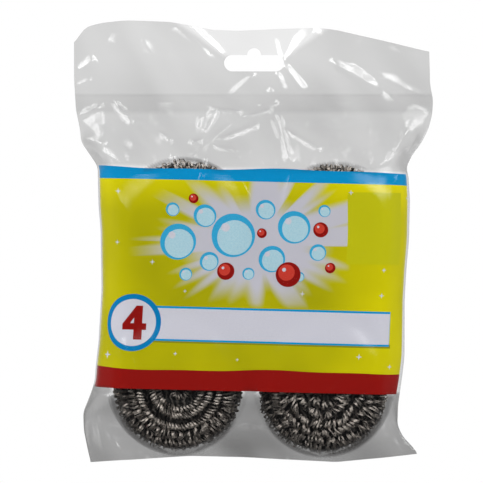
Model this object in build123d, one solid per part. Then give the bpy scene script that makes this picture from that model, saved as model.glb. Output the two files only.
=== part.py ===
from build123d import *
import os
from math import cos, pi, radians, sin, sqrt, tan

import numpy

# A hanging pack of four stainless steel scourers. A clear film bag with a welded header and a
# punched hang slot holds four round pads in two rows, with a printed label card in front of them
# and another behind them. Each pad is one long curled steel strand, wound round and round.
# Frame, in millimetres: X to the right of the pack's front, Y from the front to the back, Z up.
# The origin is the point that a display peg carries: the middle of the slot's round notch.

# Scourer pads: a strand wound from the middle of the front, over the rim, to the middle of the back
pad_radius = 34.5
pad_thickness = 31.8
pad_dimple = 3.5
strand_diameter = 4.8
strand_turn_gap = 0.46
strand_inner_radius = 5.5
inner_layer_clearance = 0.3
biarcs_per_turn = 4

# Clear film, drawn thicker than the real 0.05 mm so that each wall is a sound solid
film_ply = 0.2

# Label cards, one in front of the pads and one behind them, each curled round the pads' sides
card_thickness = 0.25
card_film_clearance = 0.2
card_pad_clearance = 0.4
card_top_gap = 1.4
card_foot_rise = 36.6
card_edge_gap = 0.6
front_card_right_edge_depth = 7.0
back_card_shortfall = 18.0

# Pouch: the pads and cards fill it, with some play, so their sizes set its own
pads_play_across = 25.0
pads_play_along = 20.0
film_above_pads = 31.0
shoulder_overlap = 2.0
film_slack = 8.5
bottom_fin = 1.8

# Foot: below the cards the film drops to a flat sheet and stands out only over the two lower pads
foot_card_gap = 1.5
foot_drop = 18.5
foot_narrowing = 9.5
dome_clearance = 0.8
dome_leave_angle = 66.0
dome_edge_thickness = 1.2

# Header: the doubled film above the weld line, where the pack folds
slot_width = 32.0
slot_height = 8.8
notch_radius = 3.7
slot_offset = 0.8
header_rise = 18.4
weld_drop = 25.6
fold_gap = 0.95

# Every cut runs this far past the solid that it cuts
cut_overrun = 5.0

# Sizes that follow
card_inset = film_ply + card_film_clearance
pad_inset = card_inset + card_thickness + card_pad_clearance
rim_middle_radius = pad_radius - pad_thickness / 2
pouch_thickness = pad_thickness + 2 * pad_inset
pouch_width = 4 * pad_radius + pads_play_across
pouch_depth = film_above_pads + 4 * pad_radius + pads_play_along
shoulder_drop = film_above_pads + shoulder_overlap
# A tube of film this wide when flat goes round the pouch's walls and round sides, with its slack.
bag_width = pouch_width + pouch_thickness * (pi / 2 - 1) + film_slack

middle_x = -slot_offset
weld_z = -weld_drop
header_bottom_z = weld_z + fold_gap / 2
pouch_top_z = weld_z - fold_gap / 2
pouch_foot_z = weld_z - pouch_depth
shoulder_z = weld_z - shoulder_drop
card_top_z = shoulder_z - card_top_gap
card_foot_z = pouch_foot_z + card_foot_rise
front_card_height = card_top_z - card_foot_z
back_card_height = front_card_height - back_card_shortfall
foot_top_z = card_foot_z - foot_card_gap

# Top edge of the header from left to right: shares of half the bag's width, and of the rise
header_top_shares = (
    (-0.945, 0.78),
    (-0.85, 0.925),
    (-0.71, 1.0),
    (-0.46, 0.955),
    (-0.22, 0.725),
    (-0.07, 0.695),
    (0.18, 0.755),
    (0.38, 0.78),
    (0.60, 0.57),
    (0.985, 0.087),
)
header_left_corner_share = 0.29

# Flat edge of the film round the pouch: shares of half the bag's width, and of the depth and fin
right_shoulder_shares = ((1.0, 0.0), (0.99, 0.061), (0.958, 0.101), (0.902, 0.139), (0.857, 0.179))
right_ear_shares = ((0.81, 0.87), (0.813, 0.905), (0.83, 0.925), (0.879, 0.952), (0.925, 0.977))
bottom_shares = ((0.925, 0.977), (0.70, 0.989), (0.461, 1.0), (-0.07, 0.986), (-0.349, 0.983), (-0.903, 1.0))
left_ear_shares = ((-0.903, 1.0), (-0.93, 0.941), (-0.947, 0.863), (-0.919, 0.824), (-0.84, 0.76))
left_shoulder_shares = ((-0.863, 0.179), (-0.908, 0.145), (-0.953, 0.112), (-0.975, 0.07), (-0.99, 0.0))

# Shoulder, from the weld down: share of its drop, and share of the thickness lost there
shoulder_shares = (
    (0.04, 0.97),
    (0.12, 0.90),
    (0.31, 0.72),
    (0.55, 0.44),
    (0.79, 0.175),
    (1.0, 0.0),
)
# Foot, from its top down: share of its drop, and share of the thickness and narrowing gone there
foot_shares = ((0.0, 0.0), (0.19, 0.115), (0.46, 0.47), (0.73, 0.776), (1.0, 0.92))

# Each pad: its column and row, shares of the play across and along that it has taken up, and the
# share of a full turn at which its strand starts.
pad_place_shares = {
    "top_left": (-1, 1, 0.16, 0.96, 0.06),
    "top_right": (1, 1, 0.74, 0.84, 0.39),
    "bottom_left": (-1, 0, 0.42, 0.19, 0.69),
    "bottom_right": (1, 0, 0.25, 0.13, 0.22),
}


# Film outlines

def header_point(across_share, rise_share):
    """A point of the header's edge, from shares of half the bag's width and of the rise."""
    return (middle_x + across_share * bag_width / 2, rise_share * header_rise)


def pouch_point(across_share, down_share):
    """A point of the pouch's flat edge, from shares of half the bag's width and of the depth."""
    return (middle_x + across_share * bag_width / 2, pouch_top_z - down_share * (pouch_depth + bottom_fin))


def hang_slot():
    """The slot that the peg goes through: a long round-ended hole with a round notch above it."""
    slot = Pos(0, -slot_height / 2) * SlotOverall(slot_width, slot_height)
    return extrude(Plane.XZ * (slot + Circle(notch_radius)), amount=cut_overrun, both=True)


def header_strip():
    """Both welded plies of film above the fold, with the uneven cut edge and the slot."""
    top = [header_point(*shares) for shares in header_top_shares]
    left_corner = header_point(-1.0, header_left_corner_share)
    bottom_left = (middle_x - bag_width / 2, header_bottom_z)
    bottom_right = (middle_x + bag_width / 2, header_bottom_z)
    edge = Polyline(top[0], left_corner, bottom_left, bottom_right, top[-1])
    outline = make_face([edge, Spline(*top)])
    return extrude(Plane.XZ * outline, amount=film_ply, both=True) - hang_slot()


def flat_edge(side):
    """One ply of the flat film round the pouch. Side is 1 for the front ply and -1 for the back."""
    right = [pouch_point(*shares) for shares in right_shoulder_shares]
    right_ear = [pouch_point(*shares) for shares in right_ear_shares]
    bottom = [pouch_point(*shares) for shares in bottom_shares]
    left_ear = [pouch_point(*shares) for shares in left_ear_shares]
    left = [pouch_point(*shares) for shares in left_shoulder_shares]
    outline = make_face([
        Spline(*right),
        Line(right[-1], right_ear[0]),
        Spline(*right_ear),
        Spline(*bottom),
        Spline(*left_ear),
        Line(left_ear[-1], left[0]),
        Spline(*left),
        Line(left[-1], right[0]),
    ])
    return extrude(Plane.XZ * outline, amount=side * film_ply)


# Pouch walls

def pouch_section(half_width, half_thickness, z):
    """A level cut through the pouch: two flat walls joined by round sides."""
    return Pos(middle_x, 0, z) * SlotOverall(2 * half_width, 2 * half_thickness)


def pad_dome(inset):
    """The room round a lower pad: its flat faces and round rim, then straight in to the flat film."""
    radius = pad_thickness / 2 + dome_clearance - inset
    leave_radius = rim_middle_radius + radius * sin(radians(dome_leave_angle))
    leave_y = radius * cos(radians(dome_leave_angle))
    edge_y = dome_edge_thickness / 2
    edge_radius = leave_radius + (leave_y - edge_y) / tan(radians(dome_leave_angle))
    half_angle = radians(dome_leave_angle / 2)
    rim_point = (rim_middle_radius + radius * sin(half_angle), radius * cos(half_angle))
    front = [
        Line((0, -radius), (rim_middle_radius, -radius)),
        ThreePointArc((rim_middle_radius, -radius), (rim_point[0], -rim_point[1]), (leave_radius, -leave_y)),
        Line((leave_radius, -leave_y), (edge_radius, -edge_y)),
    ]
    back = [
        Line((edge_radius, edge_y), (leave_radius, leave_y)),
        ThreePointArc((leave_radius, leave_y), rim_point, (rim_middle_radius, radius)),
        Line((rim_middle_radius, radius), (0, radius)),
    ]
    ends = [Line((edge_radius, -edge_y), (edge_radius, edge_y)), Line((0, radius), (0, -radius))]
    return revolve(make_face(front + back + ends), Axis.Y)


def pouch_body(inset):
    """The room that the film encloses, made smaller all round by inset."""
    half_width = pouch_width / 2 - inset
    half_thickness = pouch_thickness / 2 - inset
    foot = []
    for drop_share, loss_share in foot_shares:
        thin = pouch_thickness / 2 * (1 - loss_share) - inset
        narrow = half_width - loss_share * foot_narrowing
        foot.append(pouch_section(narrow, thin, foot_top_z - drop_share * (foot_drop - inset)))
    walls = extrude(pouch_section(half_width, half_thickness, foot_top_z), amount=shoulder_z - foot_top_z)
    shoulder = []
    for drop_share, loss_share in shoulder_shares:
        thin = pouch_thickness / 2 * (1 - loss_share) - inset
        wide = pouch_width / 2 + loss_share * (bag_width - pouch_width) / 2 - inset
        shoulder.append(pouch_section(wide, thin, weld_z - drop_share * shoulder_drop))
    pillow = loft(foot) + walls + loft(shoulder)
    for name in ("bottom_left", "bottom_right"):
        pillow += pad_place(*pad_place_shares[name][:-1]) * pad_dome(inset)
    return pillow


def bag_panel(side, outer, inner):
    """One wall of the bag with its ply of the flat edge. Side is 1 for the front, -1 for the back."""
    middle_z = weld_z - pouch_depth / 2
    keep = Pos(middle_x, -side * pouch_thickness / 2, middle_z) * Box(
        bag_width + cut_overrun, pouch_thickness, pouch_depth + 2 * cut_overrun
    )
    return ((outer + flat_edge(side)) & keep) - inner


# Label cards

def card_tube(height):
    """A card tube that fits inside the pouch's straight walls, from the cards' top edge down."""
    outer = pouch_section(pouch_width / 2 - card_inset, pouch_thickness / 2 - card_inset, card_top_z)
    inner_inset = card_inset + card_thickness
    inner = pouch_section(pouch_width / 2 - inner_inset, pouch_thickness / 2 - inner_inset, card_top_z)
    return extrude(outer - inner, amount=-height)


def space_in_front(left_y, right_y):
    """All that lies in front of left_y on the left half of the pack, and of right_y on the right."""
    far = bag_width
    plan = Polyline(
        (-far, -far), (far, -far), (far, right_y), (0, right_y), (0, left_y), (-far, left_y), close=True
    )
    top = card_top_z + cut_overrun
    return extrude(Pos(0, 0, top) * make_face(plan), amount=-front_card_height - 2 * cut_overrun)


def front_label():
    """The printed card in front of the pads, which comes round the left side to the middle."""
    edges = space_in_front(-card_edge_gap / 2, -front_card_right_edge_depth)
    return card_tube(front_card_height) & edges


def back_label():
    """The shorter card behind the pads, whose right edge comes round into view."""
    edges = space_in_front(card_edge_gap / 2, card_edge_gap - front_card_right_edge_depth)
    return card_tube(back_card_height) - edges


# Scourer pads

strand_rim_radius = (pad_thickness - strand_diameter) / 2
face_run = rim_middle_radius - strand_inner_radius
rim_run = pi * strand_rim_radius
strand_turns = int((2 * face_run + rim_run) / (strand_diameter + strand_turn_gap))


def pad_profile(run):
    """Radius and Y of the strand's middle, after a run from the front face, over the rim, to the back."""
    if run < face_run:
        short = face_run - run
        return rim_middle_radius - short, pad_dimple * (short / face_run) ** 2 - strand_rim_radius
    if run > face_run + rim_run:
        short = run - face_run - rim_run
        return rim_middle_radius - short, strand_rim_radius - pad_dimple * (short / face_run) ** 2
    angle = (run - face_run) / strand_rim_radius
    return rim_middle_radius + strand_rim_radius * sin(angle), -strand_rim_radius * cos(angle)


def strand_point(turn):
    """The strand's middle after that many turns about the pad's axis."""
    radius, y = pad_profile((2 * face_run + rim_run) * turn / strand_turns)
    angle = 2 * pi * turn
    return Vector(radius * cos(angle), y, radius * sin(angle))


def strand_way(turn):
    """The direction that the strand runs in after that many turns."""
    step = 1 / 360
    return (strand_point(turn + step) - strand_point(turn - step)).normalized()


def biarc(start, start_way, end, end_way):
    """Two arcs in space that leave start and reach end in the given directions, and meet smoothly."""
    chord = end - start
    along = chord.dot(start_way + end_way)
    turn = 2 * (1 - start_way.dot(end_way))
    reach = (sqrt(along**2 + turn * chord.dot(chord)) - along) / turn
    first_corner = start + start_way * reach
    last_corner = end - end_way * reach
    middle = (first_corner + last_corner) / 2
    return [
        TangentArc(start, middle, tangent=start_way),
        TangentArc(middle, end, tangent=last_corner - first_corner),
    ]


def strand_path():
    """The strand's whole way round the pad, one biarc for each part of a turn."""
    arcs = []
    for step in range(strand_turns * biarcs_per_turn):
        start = step / biarcs_per_turn
        end = (step + 1) / biarcs_per_turn
        arcs += biarc(strand_point(start), strand_way(start), strand_point(end), strand_way(end))
    return arcs


def outer_turns(arcs):
    """The strand's outer layer: one unbroken tube, as thick as the strand's curls."""
    section = Plane(strand_point(0), z_dir=strand_way(0)) * Circle(strand_diameter / 2)
    return sweep(section, path=Wire(arcs))


def least_gap(arcs):
    """The smallest gap between the strand and its own other turns, measured on points of its path."""
    sample_shares = (0, 0.2, 0.4, 0.6, 0.8)
    points = numpy.array([tuple(arc @ share) for arc in arcs for share in sample_shares])
    order = numpy.arange(len(points))
    turn_samples = 2 * biarcs_per_turn * len(sample_shares)
    other_turn = numpy.abs(order[:, None] - order) > turn_samples / 2
    distances = numpy.linalg.norm(points[:, None] - points, axis=2)
    return distances[other_turn].min() - strand_diameter


def inner_profile_point(run):
    """The inner turns' surface, square in from the strand's middle at that run."""
    step = face_run / 100
    radius, y = pad_profile(run)
    way = Vector(*pad_profile(run + step)) - Vector(*pad_profile(run - step))
    inward = strand_diameter / 2 + inner_layer_clearance
    square = Vector(-way.Y, way.X).normalized() * inward
    return radius + square.X, y + square.Y


def inner_turns():
    """The turns under the outer layer, as one plain ring with the pad's own profile."""
    face_shares = (0, 1 / 3, 2 / 3, 1)
    front = [inner_profile_point(share * face_run) for share in face_shares]
    back = [(radius, -y) for radius, y in reversed(front)]
    crest = inner_profile_point(face_run + rim_run / 2)
    profile = make_face([
        Spline(*front),
        ThreePointArc(front[-1], crest, back[0]),
        Spline(*back),
        Line(back[-1], front[0]),
    ])
    return revolve(profile, Axis.Y)


def pad_place(column, row, across_share, along_share):
    """A pad's middle, from its column and row and the play that it has taken up."""
    pad_diameter = 2 * pad_radius
    x = middle_x + column * (pad_radius + across_share * pads_play_across / 2)
    z = pouch_foot_z + pad_radius + row * pad_diameter + along_share * pads_play_along
    return Pos(x, 0, z)


# Assembly

os.makedirs("parts", exist_ok=True)
export_step(header_strip(), "parts/header_strip.step")
film_outside = pouch_body(0)
film_inside = pouch_body(film_ply)
export_step(bag_panel(1, film_outside, film_inside), "parts/bag_front_panel.step")
export_step(bag_panel(-1, film_outside, film_inside), "parts/bag_back_panel.step")
export_step(front_label(), "parts/front_label.step")
export_step(back_label(), "parts/back_label.step")

path = strand_path()
winding = outer_turns(path)
core = inner_turns()
print("least gap between the strand's turns, mm:", round(least_gap(path), 3))
for name, (column, row, across_share, along_share, start_share) in pad_place_shares.items():
    seat = pad_place(column, row, across_share, along_share) * Rot(0, 360 * start_share, 0)
    export_step(seat * winding, f"parts/{name}_scourer_outer_turns.step")
    export_step(seat * core, f"parts/{name}_scourer_inner_turns.step")
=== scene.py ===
import math

import bpy
import numpy as np
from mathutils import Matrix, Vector, noise
from mathutils.geometry import delaunay_2d_cdt


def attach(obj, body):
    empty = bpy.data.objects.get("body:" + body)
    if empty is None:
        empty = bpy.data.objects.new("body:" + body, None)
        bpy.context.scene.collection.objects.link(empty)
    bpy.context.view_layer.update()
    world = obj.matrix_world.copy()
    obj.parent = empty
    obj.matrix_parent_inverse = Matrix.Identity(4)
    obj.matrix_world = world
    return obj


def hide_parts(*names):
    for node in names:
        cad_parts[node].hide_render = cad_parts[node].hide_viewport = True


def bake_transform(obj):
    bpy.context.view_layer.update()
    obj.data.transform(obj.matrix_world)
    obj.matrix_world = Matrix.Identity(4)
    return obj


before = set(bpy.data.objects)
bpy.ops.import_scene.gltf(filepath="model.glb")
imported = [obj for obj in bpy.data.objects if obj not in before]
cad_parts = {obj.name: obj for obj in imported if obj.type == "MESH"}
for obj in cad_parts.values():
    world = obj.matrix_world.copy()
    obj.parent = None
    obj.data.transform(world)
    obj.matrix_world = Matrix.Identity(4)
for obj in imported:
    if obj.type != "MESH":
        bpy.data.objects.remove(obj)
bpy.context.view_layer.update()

# Four scourers. Each is one long ribbon of stainless steel, shaved off a wire so that it curls up
# like a spring. The curls are wound round and round into a pad, from the middle of the front, over
# the rim and back to the middle behind.
mm = 0.001  # All sizes are in millimetres until a mesh is made.
pad_thickness = 31.8
pad_dimple = 3.5
strand_inner_radius = 5.5
ribbon_thickness = 0.1
# "start" is the share of a turn at which a pad's winding starts, "mess" how unevenly its curls lie,
# "rope" their radius, "bunching" how far its ropes lean together, and "seed" that of its random swings.
pad_columns = ("middle", "radius", "start", "mess", "rope", "bunching", "seed")
pads = {name: dict(zip(pad_columns, values)) for name, *values in [
    ("top_left", (-37.3, -91.9), 35.8, 0.06, 0.9, 2.0, 0.6, 11),
    ("top_right", (42.95, -94.3), 35.8, 0.39, 1.2, 2.1, 0.5, 23),
    ("bottom_left", (-40.55, -176.3), 34.5, 0.69, 0.45, 1.7, 0.7, 37),
    ("bottom_right", (36.825, -177.5), 34.5, 0.22, 1.7, 2.1, 0.4, 48),
]}


def pad_winding(rim_middle_radius, depth, pitch, start, tail):
    """Points of a layer's way round the pad, at that depth under its surface, and the way out there."""
    rim_radius = pad_thickness / 2 - depth
    face_run = rim_middle_radius - strand_inner_radius
    whole_run = 2 * face_run + math.pi * rim_radius
    turns = int(whole_run / pitch)
    turn = np.linspace(0, turns, turns * 240)
    run = whole_run * turn / turns
    front = np.clip(face_run - run, 0, None)
    back = np.clip(run - face_run - math.pi * rim_radius, 0, None)
    angle = np.clip((run - face_run) / rim_radius, 0, math.pi)
    rim_swell = 0.8 * np.sin(angle) ** 6
    radius = rim_middle_radius - front - back + rim_radius * np.sin(angle) + rim_swell
    y = -rim_radius * np.cos(angle) + pad_dimple * ((front / face_run) ** 2 - (back / face_run) ** 2)
    around = 2 * math.pi * (turn + start)
    points = np.c_[radius * np.cos(around), y, radius * np.sin(around)]
    beyond = np.clip(radius - rim_middle_radius, 0, None)
    outward = np.c_[beyond * np.cos(around), y, beyond * np.sin(around)]
    if tail:
        # The strand's loose end lies tucked in a wavy line across the middle of the front.
        share = np.linspace(0, 1, 160)[:-1]
        first, way = points[0], 2 * math.pi * start
        across = np.array([math.cos(way), 0, math.sin(way)])
        aside = np.array([-math.sin(way), 0, math.cos(way)])
        reach = 13 * (1 - share) ** 1.2
        sway = 5.5 * np.sin(share * 5.2) * (1 - share)
        end = first - reach[:, None] * across + sway[:, None] * aside
        end[:, 1] = first[1] - 1.6 * np.sin(math.pi * share)
        points = np.r_[end, points]
        outward = np.r_[np.tile([0.0, -1.0, 0.0], (len(share), 1)), outward]
    return points, outward / np.linalg.norm(outward, axis=1)[:, None]


def part_way(value, start, end):
    """How far a value is on its way from start, where this is 0, to end, where it is 1."""
    return np.clip((value - start) / (end - start), 0, 1)


def eased(share):
    """A share between 0 and 1 that sets off and comes in gently."""
    return share * share * (3 - 2 * share)


def wander(rng, along, length):
    """A smooth random swing between -1 and 1 that changes over that length."""
    steps = (along - along[0]) / length
    whole = steps.astype(int)
    part = eased(steps - whole)
    values = rng.uniform(-1, 1, whole[-1] + 2)
    return values[whole] * (1 - part) + values[whole + 1] * part


def curled_ribbon(winding, rim_middle_radius, rng, coil, pitch, steps, width, mess, bunching):
    """Points and faces of the flat ribbon that curls round a winding, in curls of a radius, a pitch and
    a number of steps."""
    path, path_out = winding
    lengths = np.r_[0, np.cumsum(np.linalg.norm(np.diff(path, axis=0), axis=1))]
    count = int(lengths[-1] / pitch * steps)
    along = np.linspace(0, lengths[-1], count)
    centre = np.c_[tuple(np.interp(along, lengths, path[:, i]) for i in range(3))]
    outward = np.c_[tuple(np.interp(along, lengths, path_out[:, i]) for i in range(3))]
    way = np.gradient(centre, axis=0)
    way /= np.linalg.norm(way, axis=1)[:, None]
    aside = np.cross(way, outward)
    aside /= np.linalg.norm(aside, axis=1)[:, None]
    # The winding is neat near the middle, in separate ropes, and matted together towards the rim.
    from_axis = np.hypot(centre[:, 0], centre[:, 2]) + 1.2 * wander(rng, along, 40)
    matted = part_way(from_axis, 24.5, 26.5)
    matted_coil, matted_mess = 2.5, max(mess, 1.5)
    coil = coil + (matted_coil - coil) * matted
    mess = mess + (matted_mess - mess) * matted
    centre += outward * (0.35 * mess * wander(rng, along, 7))[:, None]
    # The ropes lie together in bunches, with dark grooves between them.
    bunch_width = 8.5
    bunch = bunching * np.sin(2 * math.pi * from_axis / bunch_width)
    centre += aside * (bunch + 0.9 * mess * wander(rng, along, 9) + 0.6 * wander(rng, along, 18))[:, None]
    phase = 2 * math.pi * along / pitch + 1.8 * mess * wander(rng, along, 6)
    radius = coil * (1 + 0.16 * mess * wander(rng, along, 6) + 0.2 * mess * wander(rng, along, pitch * 0.8))
    curl = outward * np.cos(phase)[:, None] + aside * np.sin(phase)[:, None]
    slant = 1.1 * wander(rng, along, 16) * np.sin(phase) + 0.9 * mess * wander(rng, along, pitch * 0.7)
    points = centre + curl * radius[:, None] + way * (slant * coil / 2)[:, None]
    # The film and the cards press the curls flat where they would stand out of the pad. They have more
    # room at its rim than at its faces.
    ring = np.linalg.norm(points[:, [0, 2]], axis=1)
    beyond = np.clip(ring - rim_middle_radius, 0, None)
    from_ring = np.hypot(beyond, points[:, 1])
    face_clearance, rim_room = 0.9, 1.7
    room = pad_thickness / 2 - face_clearance + rim_room * (beyond / from_ring) ** 6
    squeeze = np.minimum(1, room / from_ring)
    points[:, 1] *= squeeze
    points[:, [0, 2]] *= ((ring - beyond + beyond * squeeze) / ring)[:, None]

    run = np.gradient(points, axis=0)
    run /= np.linalg.norm(run, axis=1)[:, None]
    flat = np.cross(run, curl)
    flat /= np.linalg.norm(flat, axis=1)[:, None]
    face = np.cross(flat, run)
    tilt = 0.25 + 0.95 * wander(rng, along, pitch * 1.7)
    half = (width * (1 + 0.22 * wander(rng, along, 2)) / 2)[:, None]
    across = (flat * np.cos(tilt)[:, None] + face * np.sin(tilt)[:, None]) * half
    thick = (face * np.cos(tilt)[:, None] - flat * np.sin(tilt)[:, None]) * ribbon_thickness / 2
    corners = np.stack([points + across + thick, points - across + thick,
                        points - across - thick, points + across - thick], axis=1).reshape(-1, 3)
    first = np.arange(count - 1)[:, None] * 4
    sides = [np.c_[first + i, first + 4 + i, first + 4 + j, first + j]
             for i, j in ((0, 1), (1, 2), (2, 3), (3, 0))]
    last = 4 * count - 1
    ends = np.array([[0, 1, 2, 3], [last, last - 1, last - 2, last - 3]])
    return corners, np.r_[tuple(sides) + (ends,)].tolist()


def linear(hex_colour):
    """An sRGB hex colour as the linear RGBA that the sockets take."""
    shares = [int(hex_colour[i:i + 2], 16) / 255 for i in (1, 3, 5)]
    return tuple(s / 12.92 if s <= 0.04045 else ((s + 0.055) / 1.055) ** 2.4 for s in shares) + (1.0,)


def new_material(name):
    """A new material and its empty node tree."""
    material = bpy.data.materials.new(name)
    material.use_nodes = True
    material.node_tree.nodes.clear()
    return material, material.node_tree


def add_node(tree, kind, sockets=None, links=None, stops=(), **settings):
    """Adds a shader node with its settings, its sockets' values and the links into them. A link from
    a whole node comes from its first output. A ramp's two stops are a place and a hex colour each."""
    added = tree.nodes.new("ShaderNode" + kind)
    for name, value in settings.items():
        setattr(added, name, value)
    for name, value in (sockets or {}).items():
        added.inputs[name].default_value = value
    for name, source in (links or {}).items():
        output = source.outputs[0] if isinstance(source, bpy.types.Node) else source
        tree.links.new(output, added.inputs[name])
    if stops:
        for element, (place, hex_colour) in zip(added.color_ramp.elements, stops):
            element.position = place
            element.color = linear(hex_colour)
    return added


# Stainless steel ribbon, shaved and unpolished: a bright grey metal with fine drawn lines, whose
# turned edges catch the light one by one, so it looks like sparks on black. The lines that the blade
# leaves are about 0.02 mm apart, too fine to show, and are drawn at 0.25 mm.
steel_ribbon, tree = new_material("shaved_stainless_steel")
place = add_node(tree, "TexCoord").outputs["Object"]
speckle = add_node(tree, "TexNoise", {"Scale": 1 / (1.6 * mm), "Detail": 2.0}, {"Vector": place})
tone = add_node(tree, "ValToRGB", links={"Fac": speckle}, stops=[(0.3, "#6F6963"), (0.7, "#ADA69E")])
rough = add_node(tree, "MapRange", {"To Min": 0.5, "To Max": 0.72}, {"Value": speckle})
lines = add_node(tree, "TexNoise", {"Scale": 1 / (0.25 * mm), "Detail": 1.0}, {"Vector": place})
bump = add_node(tree, "Bump", {"Strength": 0.25, "Distance": 0.03 * mm}, {"Height": lines})
steel = add_node(tree, "BsdfPrincipled", {"Metallic": 1.0},
                 {"Base Color": tone, "Roughness": rough, "Normal": bump})
add_node(tree, "OutputMaterial", links={"Surface": steel})

# The heart of a pad is the same ribbon, packed so tight that almost no light comes back out, so its
# colour is painted dark as that shade. What glimmers in it are turns 3.456 mm apart: a wave texture
# has 10 / pi waves to its unit.
shaded_steel, tree = new_material("packed_steel_in_shade")
place = add_node(tree, "TexCoord").outputs["Object"]
turns = add_node(tree, "TexWave", {"Scale": math.pi / (10 * 3.456 * mm), "Distortion": 9.0, "Detail": 3.0,
                                   "Detail Scale": 2.0}, {"Vector": place}).outputs["Fac"]
tone = add_node(tree, "ValToRGB", links={"Fac": turns}, stops=[(0.35, "#100F0E"), (0.95, "#4A4642")])
bump = add_node(tree, "Bump", {"Strength": 0.8, "Distance": 1 * mm}, {"Height": turns})
steel = add_node(tree, "BsdfPrincipled", {"Metallic": 0.7, "Roughness": 0.55},
                 {"Base Color": tone, "Normal": bump})
add_node(tree, "OutputMaterial", links={"Surface": steel})


def pad_heart(rim_middle_radius):
    """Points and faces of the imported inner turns: a lumpy ring closed over its middle, 5.6 mm deep
    under the pad's faces and 1.2 mm under its rim."""
    around_steps, across_steps = 72, 36
    points = []
    for i in range(across_steps + 1):
        angle = math.pi * i / across_steps
        for j in range(around_steps):
            around = 2 * math.pi * j / around_steps
            lumps = noise.noise(Vector((2.2 * math.cos(around), 2.2 * math.sin(around), 4 * angle)))
            depth = 5.6 - 4.4 * math.sin(angle) ** 8 + 0.7 * lumps
            rim = pad_thickness / 2 - depth
            ring = (rim_middle_radius + rim * math.sin(angle)) * min(1, 1.6 * math.sin(angle) + 0.001)
            points.append((ring * math.cos(around), -rim * math.cos(angle), ring * math.sin(around)))
    faces = []
    for i in range(across_steps):
        for j in range(around_steps):
            k = (j + 1) % around_steps
            a, b = i * around_steps, (i + 1) * around_steps
            faces.append((a + j, b + j, b + k, a + k))
    faces.append(tuple(range(around_steps)))
    faces.append(tuple(range(len(points) - 1, len(points) - 1 - around_steps, -1)))
    return np.array(points), faces


def add_mesh(name, points, faces, materials, face_materials=None, smooth=False):
    """An object made of points in millimetres."""
    mesh = bpy.data.meshes.new(name)
    mesh.from_pydata((np.asarray(points) * mm).tolist(), [], faces)
    for material in materials:
        mesh.materials.append(material)
    if face_materials is not None:
        mesh.polygons.foreach_set("material_index", face_materials)
    mesh.polygons.foreach_set("use_smooth", [smooth] * len(mesh.polygons))
    mesh.update()
    added = bpy.data.objects.new(name, mesh)
    bpy.context.scene.collection.objects.link(added)
    return added


for name, pad in pads.items():
    rng = np.random.default_rng(pad["seed"])
    middle = np.array([pad["middle"][0], 0, pad["middle"][1]])
    rim_middle_radius = pad["radius"] - pad_thickness / 2
    outer = pad_winding(rim_middle_radius, depth=3.1, pitch=5.1, start=pad["start"], tail=True)
    points, faces = curled_ribbon(outer, rim_middle_radius, rng, coil=pad["rope"], pitch=1.7, steps=12,
                                  width=0.9, mess=pad["mess"], bunching=pad["bunching"])
    ribbon = add_mesh(f"{name}_scourer_ribbon", points + middle, faces, [steel_ribbon])
    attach(ribbon, f"{name}_scourer")
    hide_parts(f"{name}_scourer_outer_turns")

    # The inner curls and the heart take the steel whose colour is painted dark as shade.
    inner = pad_winding(rim_middle_radius, depth=6.6, pitch=5.0, start=pad["start"] + 0.5, tail=False)
    points, faces = curled_ribbon(inner, rim_middle_radius, rng, coil=2.0, pitch=2.9, steps=10,
                                  width=1.1, mess=1.2, bunching=0.0)
    heart_points, heart_faces = pad_heart(rim_middle_radius)
    faces += [tuple(i + len(points) for i in face) for face in heart_faces]
    inside = add_mesh(f"{name}_scourer_inner_curls", np.r_[points, heart_points] + middle, faces,
                      [shaded_steel])
    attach(inside, f"{name}_scourer")
    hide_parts(f"{name}_scourer_inner_turns")


# Front label. A card printed on one side and laid in front of the pads, tilted a little in the bag,
# with its left end round the side. Its art is a stripe, a bar, a ring with a plain number, a burst
# of light and some soap bubbles.

# The cards and the film both follow the filled pack: at each height, the left and right edges as
# they lie in the bag, and half the thickness between the front and the back.
left_edge = [(5.3, -95.9), (-13.3, -95.9), (-29.3, -94.9), (-40, -92.7), (-46.4, -92.2), (-53.3, -87.4),
             (-59.2, -83.4), (-80, -82.9), (-93.3, -81.8), (-125, -81.3), (-152, -82.8), (-166, -84.4),
             (-173.2, -84.9), (-178, -86.2), (-184, -88.5), (-190.4, -91.1), (-200, -90.7), (-210.6, -88.5),
             (-217, -86.9)]
right_edge = [(1.6, 93.3), (-16, 93.8), (-24, 95.4), (-32, 94.9), (-40, 92.7), (-48, 88.5), (-53.3, 84.2),
              (-60.2, 81.0), (-64, 82.3), (-77.3, 83.1), (-98.6, 82.6), (-114.6, 81.2), (-130.6, 80.3),
              (-160.4, 80.2), (-168, 79.4), (-178.6, 77.9), (-186.6, 76.8), (-197.2, 76.4), (-203.6, 79.4),
              (-208.4, 84.2), (-212.5, 87.4)]
half_thickness = [(-25.6, 0.0), (-27, 0.5), (-29.6, 1.7), (-35.8, 4.75), (-43.8, 9.5), (-51.7, 14.0),
                  (-56, 15.9), (-61, 16.95), (-179.5, 16.95), (-183, 15.0), (-188, 9.0), (-193, 3.8),
                  (-198, 1.4), (-206, 0.7), (-217, 0.4)]


def at_height(z, table):
    """The value of a table of heights, going down, at each height z, with its corners rounded."""
    heights, values = np.array(table[::-1]).T
    return sum(np.interp(z + shift, heights, values) for shift in (-2, -1, 0, 1, 2)) / 5


def wrap(arc, z, inset):
    """Places on the pack's front at a distance along its girth from the middle, inset millimetres in."""
    left, right = at_height(z, left_edge), at_height(z, right_edge)
    thick = np.maximum(at_height(z, half_thickness) - inset, 0.01)
    straight = (right - left) / 2 - inset - thick
    bend = np.clip((np.abs(arc) - straight) / thick, 0, math.pi)
    x = (left + right) / 2 + np.sign(arc) * (np.minimum(np.abs(arc), straight) + thick * np.sin(bend))
    return x, -thick * np.cos(bend)


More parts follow.
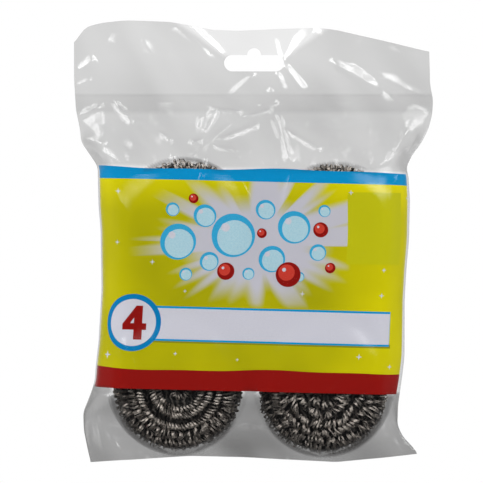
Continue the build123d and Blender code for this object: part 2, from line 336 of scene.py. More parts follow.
def from_pads(x, z):
    """The distance to the nearest pad's axis."""
    return np.min([np.hypot(x - p["middle"][0], z - p["middle"][1]) for p in pads.values()], axis=0)


def card_dip(x, z):
    """How far the cards and film sink in between the pads."""
    soft = eased(part_way(from_pads(x, z), 25, 41))
    sway = np.sin(x / 13 + z / 31) * np.sin(z / 17 - x / 41)
    return 1.9 * soft + 0.5 * sway * soft


def close_points(corners, spacing, closed=True):
    """The corners of a line with points in between, no further apart than spacing."""
    line = list(corners) + ([corners[0]] if closed else [])
    points = []
    for (ax, az), (bx, bz) in zip(line, line[1:]):
        count = max(1, math.ceil(math.hypot(bx - ax, bz - az) / spacing))
        points += [(ax + (bx - ax) * i / count, az + (bz - az) * i / count) for i in range(count)]
    return points


def left_turning(loop):
    """The loop in the order that keeps its inside on the left."""
    turned = sum(ax * bz - bx * az for (ax, az), (bx, bz) in zip(loop, loop[1:] + loop[:1]))
    return loop if turned > 0 else loop[::-1]


def circle(x, z, radius, count, start=0.0):
    """Points round a circle."""
    angles = [start + 2 * math.pi * i / count for i in range(count)]
    return [(x + radius * math.cos(a), z + radius * math.sin(a)) for a in angles]


# The card and its print. The printed shapes are cut into the mesh, so their edges are crisp.
card_thickness = 0.25
card_inset = 0.75
card_tilt = 0.024
label_middle_z = -119.9
label_height = 117.1
label_left, label_right = -89.0, 85.4
stripe_height = 6.4
band_height = 10.8


def label_top(across):
    """The card's top edge, which waves a little."""
    return label_height + 0.004 * across + 0.5 * math.sin(across / 17 + 0.6) + 0.25 * math.sin(across / 7.5)


def label_outline(foot, top_shift, spacing):
    """The card's outline in its own flat millimetres, from foot up to its top edge less a shift."""
    right_top, left_top = label_top(label_right) - top_shift, label_top(label_left) - top_shift
    foot_and_right = [(label_left, foot), (label_right, foot), (label_right, right_top)]
    top = [(a, label_top(a) - top_shift) for a in np.arange(label_right, label_left, -spacing)]
    left = [(label_left, left_top), (label_left, foot)]
    return close_points(foot_and_right, spacing, False) + top + close_points(left, spacing, False)


def sparkle(x, z, size):
    """A small star of four points."""
    return [(x + size * r * math.cos(math.pi * i / 4), z + size * r * math.sin(math.pi * i / 4))
            for i, r in enumerate([1, 0.28] * 4)]


bar = [(-56.0, 26.6), (73.6, 26.2), (73.6, 42.4), (-56.0, 42.8)]
bar_shade = [(-56.0, 24.6), (74.6, 24.2), (74.6, 26.2), (-56.0, 26.6)]
bar_edge = [(-56.0, 25.6), (73.8, 25.2), (73.8, 43.5), (-56.0, 43.9)]
panel = [(48.3, 68.2), (78.3, 68.6), (78.0, 106.6), (48.2, 106.2)]
ring_x, ring_z = -62.7, 34.8
# Each shape covers what an earlier one printed under it.
print_shapes = [
    ("red_ink", label_outline(0.0, label_height - band_height, 2.5)),
    ("blue_ink", label_outline(label_height - stripe_height, 0.0, 2.5)),
    ("olive_ink", close_points(panel, 3)),
    ("olive_shade_ink", close_points(bar_shade, 3)),
    ("blue_ink", close_points(bar_edge, 3)),
    ("white_ink", close_points(bar, 3)),
    ("deep_blue_ink", circle(ring_x, ring_z, 15.1, 72)),
    ("white_ink", circle(ring_x, ring_z, 12.4, 60)),
]
digit_outline = [(-5.9, -3.6), (-5.9, -0.6), (0.9, 8.8), (4.2, 8.8), (4.2, -0.2), (6.3, -0.2),
                 (6.3, -3.6), (4.2, -3.6), (4.2, -8.6), (-0.1, -8.6), (-0.1, -3.6)]
digit_eye = [(-1.9, -0.2), (-0.1, -0.2), (-0.1, 2.6)]
for ink_name, corners in (("red_ink", digit_outline), ("white_ink", digit_eye)):
    digit = [(ring_x + 0.8 + 1.04 * a, ring_z - 0.1 + 1.03 * b) for a, b in corners]
    print_shapes.append((ink_name, digit))
# Soap bubbles rise from the left in a drifting line, with a few red ones among them. Each has a rim,
# an inside and a glint: how far right and up they lie and their size, in radii, and their points.
blue_look = [("bubble_blue_ink", 0, 0, 1, 40), ("bubble_pale_ink", 0.06, -0.10, 0.80, 36),
             ("white_ink", -0.36, 0.36, 0.20, 14)]
red_look = [("red_ink", 0, 0, 1, 32), ("bright_red_ink", -0.14, 0.16, 0.66, 28),
            ("white_ink", -0.34, 0.38, 0.16, 12)]
blue_bubbles = [(-41, 78, 9.5), (-27, 92, 6.0), (-24, 68, 5.0), (-12, 82, 11.5), (5, 96, 5.2), (9, 70, 7.0),
                (20, 87, 8.6), (33, 74, 4.4), (36, 96, 3.2), (-36, 61, 3.4), (-3, 62, 3.2), (-44, 95, 3.6),
                (24, 61, 2.6)]
red_bubbles = [(-15, 63, 4.6), (18, 62, 6.6), (34, 86, 4.0), (-33, 101, 2.6), (3, 83.5, 2.6), (40, 66, 2.8)]
for look, bubbles in ((blue_look, blue_bubbles), (red_look, red_bubbles)):
    for x, z, radius in bubbles:
        print_shapes += [(ink_name, circle(x + right * radius, z + up * radius, size * radius, count))
                         for ink_name, right, up, size, count in look]
sparkles = [(-73, 104, 1.7), (-73.5, 77, 1.5), (-54, 67, 1.5), (-36, 52, 1.1), (50, 106, 1.5),
            (84, 104, 1.2), (68.5, 65.5, 1.4), (68, 52, 1.6), (26, 52, 1.6), (58, 19.5, 1.7),
            (-6, 16.5, 1.0), (-39, 19, 1.2), (-76, 17.5, 2.3), (75.5, 14.5, 1.5)]
print_shapes += [("white_ink", sparkle(x, z, size)) for x, z, size in sparkles]


def card_material(name):
    """A material for card, its node tree, its flat coordinates in metres, its paper grain and its bump.
    The fibres are about 0.1 mm across, too fine to show, and are drawn at 0.9 mm."""
    material, card = new_material(name)
    flat = add_node(card, "UVMap", uv_map="flat")
    grain = add_node(card, "TexNoise", {"Scale": 1 / (0.9 * mm), "Detail": 3.0}, {"Vector": flat})
    relief = add_node(card, "Bump", {"Strength": 0.15, "Distance": 0.02 * mm}, {"Height": grain})
    return material, card, flat, grain, relief


def ink(name, low, high):
    """Offset ink on coated card: even colour with a faint mottle, almost matt under the film."""
    material, card, _, grain, relief = card_material(name)
    colour = add_node(card, "ValToRGB", links={"Fac": grain}, stops=[(0.3, low), (0.7, high)])
    skin = add_node(card, "BsdfPrincipled", {"Roughness": 0.6, "Specular IOR Level": 0.03},
                    {"Base Color": colour, "Normal": relief})
    add_node(card, "OutputMaterial", links={"Surface": skin})
    return material


inks = {name: ink(name + "_on_card", low, high) for name, low, high in [
    ("red_ink", "#8E0D08", "#98110B"),
    ("bright_red_ink", "#CF3B2E", "#D64436"),
    ("blue_ink", "#0095D2", "#039CDA"),
    ("deep_blue_ink", "#007CB8", "#0083C0"),
    ("olive_ink", "#C8C60E", "#CECC12"),
    ("olive_shade_ink", "#8E8D14", "#95941A"),
    ("white_ink", "#D3D3DE", "#DADAE4"),
    ("bubble_blue_ink", "#2FA6D6", "#3CB0DE"),
    ("bubble_pale_ink", "#A9D5E4", "#C0E0EA"),
]}
inks["plain_card"] = ink("uncoated_back_of_card", "#A9B7BD", "#B4C1C6")

# The yellow ink has the burst printed into it: a white glow above the bar with some 20 rays, 44 mm
# long on average and longest at the upper right. Bearings round its middle are in radians.
inks["yellow_ink"], tree, flat, grain, relief = card_material("yellow_ink_with_burst")
centred = add_node(tree, "VectorMath", {1: (0, 78 * mm, 0)}, {0: flat}, operation="SUBTRACT")
split = add_node(tree, "SeparateXYZ", links={"Vector": centred})
across, up = split.outputs["X"], split.outputs["Y"]
stretched = add_node(tree, "Math", {1: 1.6}, {0: up}, operation="MULTIPLY")
bearing = add_node(tree, "Math", links={0: stretched, 1: across}, operation="ARCTAN2")
from_middle = add_node(tree, "CombineXYZ", links={"X": across, "Y": stretched})
reach = add_node(tree, "VectorMath", links={0: from_middle}, operation="LENGTH").outputs["Value"]
from_upper_right = add_node(tree, "Math", {1: 0.75}, {0: bearing}, operation="SUBTRACT")
from_upper_right = add_node(tree, "Math", links={0: from_upper_right}, operation="ABSOLUTE")
longest = add_node(tree, "MapRange", {"From Min": 0.35, "From Max": 1.3, "To Min": 1.5, "To Max": 0.45},
                   {"Value": from_upper_right}, interpolation_type="SMOOTHSTEP")
rays = add_node(tree, "TexNoise", {"Scale": 3.1, "Detail": 1.0}, {"W": bearing}, noise_dimensions="1D")
rays = add_node(tree, "MapRange", {"From Min": 0.4, "From Max": 0.62}, {"Value": rays})
rays = add_node(tree, "Math", {2: 0.75}, {0: rays, 1: longest}, operation="MULTIPLY_ADD")
ray_reach = add_node(tree, "Math", {1: 44 * mm}, {0: rays}, operation="MULTIPLY")
ray_share = add_node(tree, "Math", links={0: reach, 1: ray_reach}, operation="DIVIDE")
# The glow fades along its rays, stops at the olive panel and stays above the bar.
glow = add_node(tree, "MapRange", {"From Min": 0.7, "From Max": 1.3, "To Min": 0.95, "To Max": 0.0},
                {"Value": ray_share}, interpolation_type="SMOOTHSTEP")
for source, gone_at, full_at in ((across, 51, 48), (up, -35, -31)):
    limit = add_node(tree, "MapRange", {"From Min": gone_at * mm, "From Max": full_at * mm},
                     {"Value": source}, interpolation_type="SMOOTHSTEP")
    glow = add_node(tree, "Math", links={0: glow, 1: limit}, operation="MULTIPLY")
# Painted light: the ink is lighter along the sides and the top, as if lit more there, with a random
# mottle through it.
mottle = add_node(tree, "TexNoise", {"Scale": 1 / (30 * mm), "Detail": 1.0}, {"Vector": flat})
aside = add_node(tree, "Math", {1: 16 * mm}, {0: across}, operation="ADD")
aside = add_node(tree, "Math", links={0: aside}, operation="ABSOLUTE")
painted_side_light, painted_top_light = (
    add_node(tree, "MapRange", {"From Min": low * mm, "From Max": high * mm, "To Max": 0.4},
             {"Value": source}, interpolation_type="SMOOTHSTEP")
    for source, low, high in ((aside, 42, 86), (up, 14, 34)))
mottle_and_painted_light = add_node(tree, "Math", links={0: painted_side_light, 1: painted_top_light}, operation="ADD")
mottle_and_painted_light = add_node(tree, "Math", {1: 0.45}, {0: mottle, 2: mottle_and_painted_light}, operation="MULTIPLY_ADD")
yellow = add_node(tree, "ValToRGB", links={"Fac": mottle_and_painted_light}, stops=[(0.12, "#B0AC00"), (1.0, "#F0E500")])
colour = add_node(tree, "MixRGB", {"Color2": linear("#CDCCDA")}, {"Fac": glow, "Color1": yellow})
skin = add_node(tree, "BsdfPrincipled", {"Roughness": 0.6, "Specular IOR Level": 0.03},
                {"Base Color": colour, "Normal": relief})
add_node(tree, "OutputMaterial", links={"Surface": skin})


def card_place(across, up, inset, side):
    """A point of a card, from its own flat millimetres to its place in the tilted, filled bag: on the
    front for side 1, or on the back for -1."""
    if side < 0:
        # The back card's ends are tucked in, up to 1 mm behind the front card's.
        inset = inset + part_way(np.abs(across), 74, 84)
    arc = across + (up - label_height / 2) * card_tilt
    z = label_middle_z + (up - label_height / 2) - across * card_tilt
    x, y = wrap(arc, z, inset)
    dip = card_dip(x, z) * part_way(y, 0, -14)
    return np.c_[x, side * (y + dip), z]


def thin_out(groups):
    """The points of all groups but those that lie nearer than their group's least distance to an
    earlier one. A group whose least distance is 0 is kept whole."""
    kept, cells = [], {}
    cell = 2.0
    for points, least in groups:
        for x, z in points:
            column, row = int(x // cell), int(z // cell)
            near = (point for i in (-1, 0, 1) for j in (-1, 0, 1)
                    for point in cells.get((column + i, row + j), ()))
            if least and any((x - a) ** 2 + (z - b) ** 2 < least * least for a, b in near):
                continue
            kept.append((x, z))
            cells.setdefault((column, row), []).append((x, z))
    return kept


def triangulate(loops, groups):
    """Flat points of the loops and of the groups between them, the triangles that they make, and the
    numbers of the loops around each triangle."""
    points = [point for loop in loops for point in loop]
    ends = np.cumsum([0] + [len(loop) for loop in loops])
    numbered = [list(range(first, end)) for first, end in zip(ends, ends[1:])]
    kept = [Vector(point) for point in thin_out([(points, 0)] + groups)]
    points, _, triangles, _, _, owners = delaunay_2d_cdt(kept, [], numbered, 1, 1e-3)
    return np.array(points), triangles, owners


def closed_sheet(front, rear, triangles):
    """Points and faces of a sheet: its front, its rear, and the rim that joins their open edges."""
    count = len(front)
    edges = {(a, b) for t in triangles for a, b in zip(t, t[1:] + t[:1])}
    faces = [tuple(t) for t in triangles] + [tuple(i + count for i in reversed(t)) for t in triangles]
    faces += [(b, a, a + count, b + count) for a, b in sorted(edges) if (b, a) not in edges]
    return np.r_[front, rear], faces


def make_card(name, outline, shapes, plain, side):
    """A card with its print, as a closed sheet that follows the pack's front or back."""
    across, up = np.array(outline).T
    grid = [(a, b) for a in np.arange(across.min() + 2, across.max() - 1, 2.6)
            for b in np.arange(up.min() + 2, up.max() - 1.2, 2.6)]
    loops = [outline] + [left_turning(loop) for _, loop in shapes]
    flat_points, triangles, owners = triangulate(loops, [(grid, 0.9)])
    # A triangle has the ink of the last shape around it.
    kinds = sorted({kind for kind, _ in shapes} | {plain})
    choice = [kinds.index(shapes[max(owner) - 1][0] if max(owner) else plain) for owner in owners]
    front, rear = (card_place(flat_points[:, 0], flat_points[:, 1], inset, side)
                   for inset in (card_inset, card_inset + card_thickness))
    points, faces = closed_sheet(front, rear, triangles)
    if side < 0:
        faces = [face[::-1] for face in faces]
    unprinted = [len(kinds)] * (len(faces) - len(triangles))
    card = add_mesh(name, points, faces, [inks[kind] for kind in kinds] + [inks["plain_card"]],
                    choice + unprinted, smooth=True)
    flat_corners = np.r_[flat_points, flat_points][np.concatenate(faces)]
    layer = card.data.uv_layers.new(name="flat")
    layer.data.foreach_set("uv", (flat_corners * mm).ravel())
    card.data.set_sharp_from_angle(angle=math.radians(40))
    return card


front_card = make_card("printed_front_label", label_outline(0.0, 0.0, 2.2), print_shapes, "yellow_ink", 1)
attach(front_card, "pouch")
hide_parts("front_label")

# Back label. The same board behind the pads, 18 mm shorter, with only the blue stripe on it. Its
# right end comes round the side and shows beside the front label.
back_left, back_right, back_foot = -91.4, 94.2, 18.0


def back_outline(foot):
    """The back card's outline from that height up to its top edge."""
    corners = [(back_left, foot), (back_right, foot), (back_right, label_height), (back_left, label_height)]
    return close_points(corners, 2.2)


back_stripe = back_outline(label_height - stripe_height)
back_card = make_card("plain_back_label", back_outline(back_foot), [("blue_ink", back_stripe)],
                      "plain_card", -1)
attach(back_card, "pouch")
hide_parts("back_label")


# The bag. A flat tube of clear polypropylene film, drawn as one closed envelope: the front and
# back plies meet at the creased sides, at the cut top and foot and round the punched slot, and lie
# together above the weld. The film is tight over the pads and creased where it was pulled.
bag_half_width = 95.4
# The cut edges: their heights at shares of the half width.
top_edge = [(-1.0, 5.3), (-0.945, 14.4), (-0.85, 17.0), (-0.71, 18.4), (-0.46, 17.6), (-0.34, 15.6),
            (-0.22, 13.3), (-0.07, 12.8), (0.18, 13.9), (0.38, 14.4), (0.48, 13.2), (0.60, 10.5),
            (0.80, 6.2), (1.0, 1.6)]
foot_edge = [(-1.0, -216.9), (-0.387, -213.6), (-0.082, -214.2), (0.5, -216.9), (0.757, -214.8),
             (1.0, -212.5)]
slot_width, slot_height, notch_radius = 32.0, 8.8, 3.7


def flat_of(x, z):
    """The place on the flat film of a point of the header or of the flat front."""
    left, right = at_height(z, left_edge), at_height(z, right_edge)
    thick = at_height(z, half_thickness)
    girth = (right - left) / 2 - thick + math.pi / 2 * thick
    return float((x - (left + right) / 2) / girth * bag_half_width), z


def edge_heights(across, table):
    """The height of the top or foot edge at each place across the flat film."""
    shares, heights = np.array(table).T
    steps = np.linspace(-0.03, 0.03, 7)
    return np.mean([np.interp(across / bag_half_width + s, shares, heights) for s in steps], axis=0)


flat_steps = np.linspace(-bag_half_width, bag_half_width, 150)
foot_line, top_line = (list(zip(flat_steps, edge_heights(flat_steps, edge)))
                       for edge in (foot_edge, top_edge))
film_outline = close_points(foot_line + top_line[::-1], 1.4)
end_radius = slot_height / 2
end_x = slot_width / 2 - end_radius
slot_loop = [(end_x + end_radius * math.sin(a), -end_radius + end_radius * math.cos(a))
             for a in np.linspace(0, math.pi, 15)]
slot_loop += [(-x, z) for x, z in reversed(slot_loop)]
slot_loop += [(notch_radius * math.cos(a), notch_radius * math.sin(a)) for a in np.linspace(math.pi, 0, 15)]
slot_loop = close_points(slot_loop, 1.2)
slot_flat = left_turning([flat_of(x, z) for x, z in slot_loop])

# Each fold: two ends, how far it stands out, and how far it spreads to each side. The sign says
# whether it stands to the front or to the back. Most run from the slot's ends, where the film hangs.
header_folds = [
    (-15, -2, -38, 18, 1.5, 5.0), (-15, -2, -44, 17, -1.0, 5.0),
    (16, -3, 34, 15, 1.0, 8.0), (16, -3, 13, 13, -1.0, 4.0), (16, -3, 22, 14, -0.8, 4.0),
    (12, -9, 17, -22, 1.4, 3.5), (16, -5, 27, -21, 1.7, 4.5), (8, -9, 9, -20, -1.0, 3.0),
    (1, -10, -14, -24, 0.9, 5.0), (40, -3, 68, -19, 3.2, 7.0), (52, -2, 83, -31, -0.6, 6.0),
    (57, -9, 95, -24, 0.5, 7.0), (-79, 8, -31, -9, 0.5, 9.0), (-60, 9, -52, -4, 0.4, 6.0),
    (-94, -9, -84, -2, 1.5, 5.0), (-95, -17, -86, -13, 0.6, 3.0), (-62, -2, -40, -10, -0.5, 8.0),
    (-75, 15, -88, -12, -0.5, 9.0), (70, 8, 92, -6, -0.5, 9.0), (60, 10, 48, -6, 0.4, 8.0),
    (-30, 12, -20, -16, 0.4, 9.0), (84, -20, 60, -6, 0.4, 7.0), (30, -24, 45, -6, -0.5, 8.0),
]
front_folds = [
    (-94, -33, -80, -26, 1.2, 3.0), (-75, -24, -64, -37, 1.5, 2.6), (-27, -42, -20, -28, 1.5, 2.6),
    (-30, -41, -28, -32, 1.1, 1.8), (-20, -46, 3, -37, 1.3, 3.0), (-34, -47, -27, -46, 1.5, 2.8),
    (13, -31, 19, -59, 1.2, 2.8), (15, -39, 36, -52, 1.1, 2.4), (74, -53, 82, -39, 1.3, 2.6),
    (80, -55, 87, -42, 1.1, 2.2), (-92, -49, -79, -56, 2.6, 5.0), (-92, -45, -78, -48, 1.4, 3.0),
    (-24, -28, -6, -31, 1.0, 2.0), (-6, -33, 10, -29, 0.9, 2.0), (-22, -49, -8, -52, 0.8, 2.2),
    (2, -27, 13, -25, 0.9, 1.8), (10, -34, 14, -45, 1.0, 1.8), (-50, -41, -43, -47, 0.8, 2.2),
    (-44, -54, -40, -58, 0.6, 2.0), (-10, -34, -36, -57, 0.5, 4.0), (40, -30, 46, -58, 0.2, 6.0),
    (62, -32, 58, -57, 0.2, 5.0), (-60, -30, -66, -57, 0.2, 6.0), (-12, -180, -4, -213, 0.5, 4.0),
    (-84, -186, -88, -214, 0.8, 4.0), (-78, -200, -70, -214, 0.6, 4.0), (0, -186, 4, -212, -0.4, 4.0),
    (74, -190, 82, -212, 0.8, 3.5), (72, -196, 62, -214, 0.5, 4.0), (30, -212, 44, -216, 0.4, 3.0),
    (74, -63, 80, -60, 0.5, 2.5), (77, -61, 75, -71, 0.5, 2.0), (-25, -54, -31, -77, 0.4, 1.6),
    (-70, -150, -60, -172, 0.5, 4.0), (-78, -68, -64, -88, 0.25, 6.0), (66, -140, 76, -172, 0.5, 4.0),
    (-8, -66, 6, -92, 0.35, 4.0), (20, -62, 14, -84, 0.3, 3.0),
]
back_folds = [
    (-70, -28, -50, -57, 0.7, 4.0), (-20, -30, -35, -58, 0.6, 4.0), (10, -28, 24, -57, 0.4, 5.0),
    (60, -28, 52, -58, 0.3, 5.0), (84, -30, 76, -54, 0.8, 4.0), (-86, -40, -76, -56, 0.7, 4.0),
    (-14, -182, -4, -213, 0.5, 4.0), (-86, -186, -80, -214, 0.6, 4.0), (72, -188, 80, -212, 0.6, 3.5),
]


def fold_height(x, z, folds):
    """The height that folds add at each point: a sharp ridge that dies away to its sides and ends."""
    total = np.zeros_like(x)
    for ax, az, bx, bz, height, spread in folds:
        length = math.hypot(bx - ax, bz - az)
        along = ((x - ax) * (bx - ax) + (z - az) * (bz - az)) / length**2
        off = ((x - ax) * (bz - az) - (z - az) * (bx - ax)) / length
        ends = np.clip(1 - (2 * np.clip(along, -0.2, 1.2) - 1) ** 4, 0, 1)
        width = spread * (0.45 + 0.55 * np.clip(along, 0, 1))
        ridge = np.clip(1 - np.sqrt((off / width) ** 2 + 0.004), 0, 1)
        total += height * ends * ridge**1.3
    return total


def crumple(x, z, seed, size):
    """Small crumples: the sharp lines between the cells of a random pattern, between 0 and 1."""
    near = [noise.voronoi(Vector((a / size, b / size, seed)))[0] for a, b in zip(x, z)]
    return np.clip([second - first for first, second, *_ in near], 0, 1)


def swell(x, z, seed, size):
    """Slow waves between -1 and 1."""
    return np.array([noise.noise(Vector((a / size, b / size, seed))) for a, b in zip(x, z)])


pad_film_radius = pad_thickness / 2 + 0.85
leave_angle = math.radians(66)
deepest_film = 17.9


def pad_dome(x, z, pad):
    """The film over a bottom pad: flat in front, round the rim, then straight down to the flat film."""
    rim_middle_radius = pad["radius"] - pad_thickness / 2
    ring = np.hypot(x - pad["middle"][0], z - pad["middle"][1])
    angle = np.clip(np.arcsin(np.clip((ring - rim_middle_radius) / pad_film_radius, 0, 1)), 0, leave_angle)
    height = pad_film_radius * np.cos(angle)
    leave_ring = rim_middle_radius + pad_film_radius * math.sin(leave_angle)
    return height - np.clip(ring - leave_ring, 0, None) * math.tan(leave_angle)


def film_place(flat, z, side, folds, seed):
    """The place of each point of the flat film and its haze with painted shade there, on the front ply
    for side 1 or on the back one for -1."""
    left, right = at_height(z, left_edge), at_height(z, right_edge)
    thick = np.maximum(at_height(z, half_thickness), 0.01)
    girth = (right - left) / 2 - thick + math.pi / 2 * thick
    x, y = wrap(flat / bag_half_width * girth, z, 0.0)
    from_side = bag_half_width - np.abs(flat)
    from_pad = from_pads(x, z)
    # Beside the shoulder the two plies lie together, so the pouch thins out towards its sides there.
    base = -y * (1 - part_way(z, -63, -54) * (1 - eased(part_way(from_side, 0, 18))))
    domes = [pad_dome(x, z, pads[name]) for name in ("bottom_left", "bottom_right")]
    heights = np.array([base] + domes)
    rounding = 0.45
    height = rounding * np.log(np.sum(np.exp(np.clip(heights, -20, 20) / rounding), axis=0))
    inner = part_way(from_side, 0, 6)
    height = np.maximum(height, 0.15 + 0.15 * inner)
    # Under the film the card sinks between the pads, and the film goes after it for the most part.
    over_card = part_way(z, -60, -63) * part_way(z, -182, -179)
    height -= 0.8 * card_dip(x, z) * over_card * part_way(base, 0, 14)
    wrinkles = np.clip(fold_height(x, z, folds), -height, 3) * inner
    small = crumple(x + 0.35 * z, z * 0.8, seed, 9.0)
    fine = crumple(x, z, seed + 4.2, 4.2)
    crumples = (1 - over_card) * (0.55 * small + 0.16 * fine) + over_card * 0.12 * small
    wrinkles += part_way(z, -26, -36) * inner * crumples
    height += np.clip(wrinkles, -0.9 * np.maximum(height, 0), None) * part_way(height, 0, 0.4)
    height = np.minimum(height, deepest_film)
    # The header and the shoulder sway as one, both plies together, and so does the foot.
    hold = part_way(z, -62, -22)
    sway = fold_height(x, z, header_folds) * part_way(z, -27, -23)
    sway += 1.6 * swell(x, z, 2.5, 34.0) * hold + 0.5 * swell(x, z, 8.5, 13.0) * hold
    sway += 2.4 * swell(x, z, 5.5, 22.0) * part_way(z, -186, -200) * part_way(from_pad, 37, 45)
    # How much the film greys what is behind it, by its height down from the slot: least where it lies
    # tight on the cards and pads, and most where it goes steeply down round a pad's rim. Below the cards
    # it is painted greyer towards the foot, as painted shade.
    down = -z - card_tilt * x * part_way(z, -45, -55)
    haze_and_painted_shade = np.interp(down, [0, 18, 60.2, 61.6, 177.6, 178.6, 200, 215],
                     [0.18, 0.2, 0.2, 0.02, 0.02, 0.34, 0.4, 0.48])
    # The weld shows as a band, more faintly in the middle, where creases cross it.
    welded = np.interp(down, [20.2, 21.2, 22.4, 29.5, 31.8], [0, 1, 0.75, 0.9, 0])
    haze_and_painted_shade += 0.055 * welded * (1 - 0.6 * np.exp(-(((x - 2) / 22) ** 2)))
    # The film between the two bottom pads is creased, and painted greyer there as the shade between them.
    below_card = part_way(z, -176, -181) * part_way(z, -222, -208)
    haze_and_painted_shade += 0.15 * np.exp(-(((x + 2) / 24) ** 2)) * below_card
    # The flat panel above the slot, between the creases that run up from its ends, is painted clearer:
    # a painted highlight, as if it threw back more of the light above.
    haze_and_painted_shade -= 0.12 * part_way(z, -3, 0) * part_way(np.abs(x - 1), 17 + 1.4 * (z + 2), 13 + 1.4 * (z + 2))
    tight = part_way(from_pad, 36, 34.5)
    haze_and_painted_shade = haze_and_painted_shade * (1 - tight) + 0.02 * tight
    at_bottom = z < -150
    round_rim = part_way(from_pad - np.where(at_bottom, 0, 1.6), 31.8, 34) * part_way(from_pad, 37.4, 36.9)
    haze_and_painted_shade = np.maximum(haze_and_painted_shade, round_rim * (1 - over_card) * np.where(at_bottom, 0.56, 0.42))
    cloud = 1 + 0.2 * swell(x, z, 11.5, 30.0) + 0.14 * swell(x + 0.6 * z, z * 0.5, 3.5, 12.0)
    return np.c_[x, -sway - side * height, z], haze_and_painted_shade * cloud


row_step = 1.55
row_places = np.arange(-bag_half_width + row_step * 0.6, bag_half_width - row_step * 0.5, row_step)
row_points = [(a + (row_step / 2 if i % 2 else 0), z)
              for i, z in enumerate(np.arange(-217, 19, row_step * 0.87)) for a in row_places]
# The mesh is finest along the folds and round the pads' rims.
fold_points = []
for ax, az, bx, bz, _, _ in header_folds + front_folds:
    length = math.hypot(bx - ax, bz - az)
    for off in (0, -0.8, 0.8):
        for share in np.linspace(0, 1, max(2, int(length / 0.9))):
            x = ax + (bx - ax) * share + off * (bz - az) / length
            z = az + (bz - az) * share - off * (bx - ax) / length
            fold_points.append(flat_of(x, z))
ring_points = [flat_of(x, z) for pad in pads.values() for ring in np.arange(29.0, 38.6, 0.65)
               for x, z in circle(*pad["middle"], ring, 170, start=ring) if z > -66 or z < -170]


def clear_of_edges(points, least):
    """The points that lie within the film and at least that far from its edges and from the slot."""
    kept = []
    lows, highs = (edge_heights(np.array([p[0] for p in points]), edge) for edge in (foot_edge, top_edge))
    for (a, z), low, high in zip(points, lows, highs):
        if abs(a) < bag_half_width - least and low + least < z < high - least:
            from_slot = math.hypot(max(abs(a) - end_x, 0), z + end_radius) - end_radius
            from_notch = math.hypot(a, z) - notch_radius
            if from_slot > least and from_notch > least:
                kept.append((a, z))
    return kept


flat_points, triangles, owners = triangulate([film_outline, slot_flat], [
    (clear_of_edges(fold_points, 0.6), 0.6), (clear_of_edges(ring_points, 0.6), 0.5),
    (clear_of_edges(row_points, 0.7), 0.75)])
# The slot, which is the second loop, is left open.
triangles = [t for t, owner in zip(triangles, owners) if 1 not in owner]
used, numbers = np.unique(triangles, return_inverse=True)
triangles = numbers.reshape(-1, 3).tolist()
flat, z = flat_points[used].T
front, front_haze_and_shade = film_place(flat, z, 1, front_folds, 1.3)
back, back_haze_and_shade = film_place(flat, z, -1, back_folds, 7.7)
points, faces = closed_sheet(front, back, triangles)
film = add_mesh("clear_film_bag", points, faces, [], smooth=True)
film_haze_and_shade = film.data.attributes.new("haze_and_painted_shade", "FLOAT", "POINT")
film_haze_and_shade.data.foreach_set("value", np.r_[front_haze_and_shade, back_haze_and_shade])

# Cast polypropylene, clear and glossy on both sides: it dims and greys what is behind it a little,
# more where it turns away from the eye, and its creases throw back the lights.
clear_film, tree = new_material("clear_cast_polypropylene")
# The haze attribute also carries painted shade and a painted highlight, set in film_place.
haze_and_painted_shade = add_node(tree, "Attribute", attribute_name="haze_and_painted_shade").outputs["Fac"]
turned = add_node(tree, "LayerWeight", {"Blend": 0.5}).outputs["Facing"]
steep = add_node(tree, "Math", {1: 2.2}, {0: turned}, operation="POWER")
steep = add_node(tree, "Math", {1: 0.6}, {0: steep}, operation="MULTIPLY")
greyed = add_node(tree, "Math", links={0: haze_and_painted_shade, 1: steep}, operation="ADD", use_clamp=True)
smoky = add_node(tree, "BsdfDiffuse", {"Color": linear("#403E3D"), "Roughness": 0.5})
clear = add_node(tree, "BsdfTransparent", {"Color": (1, 1, 1, 1)})
body = add_node(tree, "MixShader", links={0: greyed, 1: clear, 2: smoky})
gloss = add_node(tree, "BsdfGlossy", {"Color": (1, 1, 1, 1), "Roughness": 0.1})
edge_on = add_node(tree, "Math", {1: 5.0}, {0: turned}, operation="POWER")
glare = add_node(tree, "MapRange", {"To Min": 0.035, "To Max": 0.8}, {"Value": edge_on})
skin = add_node(tree, "MixShader", links={0: glare, 1: body, 2: gloss})
add_node(tree, "OutputMaterial", links={"Surface": skin})
film.data.materials.append(clear_film)
film.data.set_sharp_from_angle(angle=math.radians(60))
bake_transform(film)
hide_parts("header_strip", "bag_front_panel", "bag_back_panel")


# Studio: a pale floor under the hanging pack and a white surround. The camera sees the floor three
# parts white to one part lit, so that it is pale and still shows the pack's shadow.
floor_z, floor_radius = -275.0, 260.0
floor_rim = [(x, y, floor_z) for x, y in circle(0, 0, floor_radius, 128)]
floor = add_mesh("studio_floor", floor_rim, [tuple(range(128))], [])
pale_floor, tree = new_material("pale_floor")
seen = add_node(tree, "LightPath")
white = add_node(tree, "Emission", {"Color": (1, 1, 1, 1), "Strength": 1.0})
matt = add_node(tree, "BsdfDiffuse", {"Color": linear("#F4F4F4")})
mostly = add_node(tree, "Math", {1: 0.75}, {0: seen.outputs["Is Camera Ray"]}, operation="MULTIPLY")
mixed = add_node(tree, "MixShader", links={0: mostly, 1: matt, 2: white})
add_node(tree, "OutputMaterial", links={"Surface": mixed})
floor.data.materials.append(pale_floor)
floor.visible_glossy = False

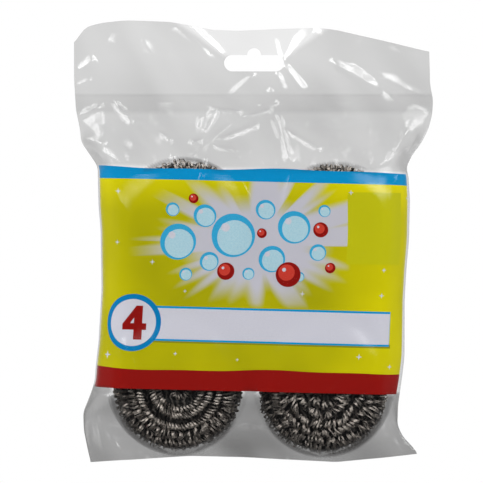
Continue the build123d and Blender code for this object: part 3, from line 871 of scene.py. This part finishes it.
# What steel and film mirror is a dim room, a little lighter at its far sides and white behind the
# pack, with a broad light panel at the upper left and one at the upper right. The panels are uneven,
# in patches some 20 degrees wide, so that creases pick up more and less of them.
world = bpy.data.worlds.new("studio")
bpy.context.scene.world = world
world.use_nodes = True
tree = world.node_tree
tree.nodes.clear()
seen = add_node(tree, "LightPath")
direction = add_node(tree, "TexCoord").outputs["Generated"]
split = add_node(tree, "SeparateXYZ", links={"Vector": direction})
up = split.outputs["Z"]
aside = add_node(tree, "Math", links={0: split.outputs["X"]}, operation="ABSOLUTE")
patches = add_node(tree, "TexNoise", {"Scale": 2.6, "Detail": 1.0}, {"Vector": direction})
behind, far_side, *panel_steps = (
    add_node(tree, "MapRange", {"From Min": low, "From Max": high, "To Min": start, "To Max": end},
             {"Value": source}, interpolation_type="SMOOTHSTEP")
    for source, low, high, start, end in [
        (split.outputs["Y"], 0.25, 0.8, 0.0, 1.0),
        (aside, 0.75, 0.98, 0.07, 0.2),
        (up, 0.1, 0.3, 0.0, 1.0),
        (up, 0.82, 0.95, 1.0, 0.0),
        (aside, 0.1, 0.28, 0.0, 1.0),
        (aside, 0.75, 0.9, 1.0, 0.0),
        (patches, 0.38, 0.6, 2.5, 8.0),
    ])
panels = panel_steps[0]
for step in panel_steps[1:]:
    panels = add_node(tree, "Math", links={0: panels, 1: step}, operation="MULTIPLY")
room = add_node(tree, "Math", links={0: panels, 1: far_side}, operation="ADD")
glossy = seen.outputs["Is Glossy Ray"]
strength = add_node(tree, "Mix", {2: 0.28}, {0: glossy, 3: room}, data_type="FLOAT")
shown = add_node(tree, "Math", links={0: glossy, 1: behind}, operation="MULTIPLY")
for ray in ("Is Camera Ray", "Is Transmission Ray"):
    shown = add_node(tree, "Math", links={0: shown, 1: seen.outputs[ray]}, operation="MAXIMUM")
dim = add_node(tree, "Background", {"Color": (1, 1, 1, 1)}, {"Strength": strength})
bright = add_node(tree, "Background", {"Color": (1, 1, 1, 1), "Strength": 1.0})
mixed = add_node(tree, "MixShader", links={0: shown, 1: dim, 2: bright})
add_node(tree, "OutputWorld", links={"Surface": mixed})

# Two large soft boxes light the pack from the sides, a small one from above the camera and one from
# behind. Sizes and distances are in metres, bearings and heights in degrees as seen from the pack.
look_at = Vector((-6.7 * mm, 0, -99.4 * mm))
for name, bearing, height, distance, width, tall, watts in [
    ("left_soft_box", -62, 12, 1.2, 1.3, 1.5, 10.6),
    ("right_soft_box", 62, 12, 1.2, 1.3, 1.5, 10.6),
    ("front_soft_box", -20, 27, 1.3, 0.32, 0.2, 3.0),
    ("back_soft_box", 150, 25, 1.4, 1.2, 1.0, 9.0),
]:
    lamp = bpy.data.lights.new(name, "AREA")
    lamp.shape = "RECTANGLE"
    lamp.size, lamp.size_y = width, tall
    lamp.energy = watts
    soft_box = bpy.data.objects.new(name, lamp)
    soft_box.visible_glossy = False
    a, e = math.radians(bearing), math.radians(height)
    away = Vector((math.sin(a) * math.cos(e), -math.cos(a) * math.cos(e), math.sin(e)))
    soft_box.location = look_at + away * distance
    soft_box.rotation_euler = (-away).to_track_quat("-Z", "Y").to_euler()
    bpy.context.scene.collection.objects.link(soft_box)

# Camera: straight on, with a long lens, at the distance from which it sees 257.4 mm across the pack.
picture_width = 257.4
lens = bpy.data.cameras.new("camera")
lens.lens = 220
lens.sensor_width = 36
camera = bpy.data.objects.new("camera", lens)
camera.location = look_at + Vector((0, -lens.lens / lens.sensor_width * picture_width * mm, 0))
camera.rotation_euler = (math.pi / 2, 0, 0)
bpy.context.scene.collection.objects.link(camera)
bpy.context.scene.camera = camera
bpy.context.scene.view_settings.view_transform = "Standard"
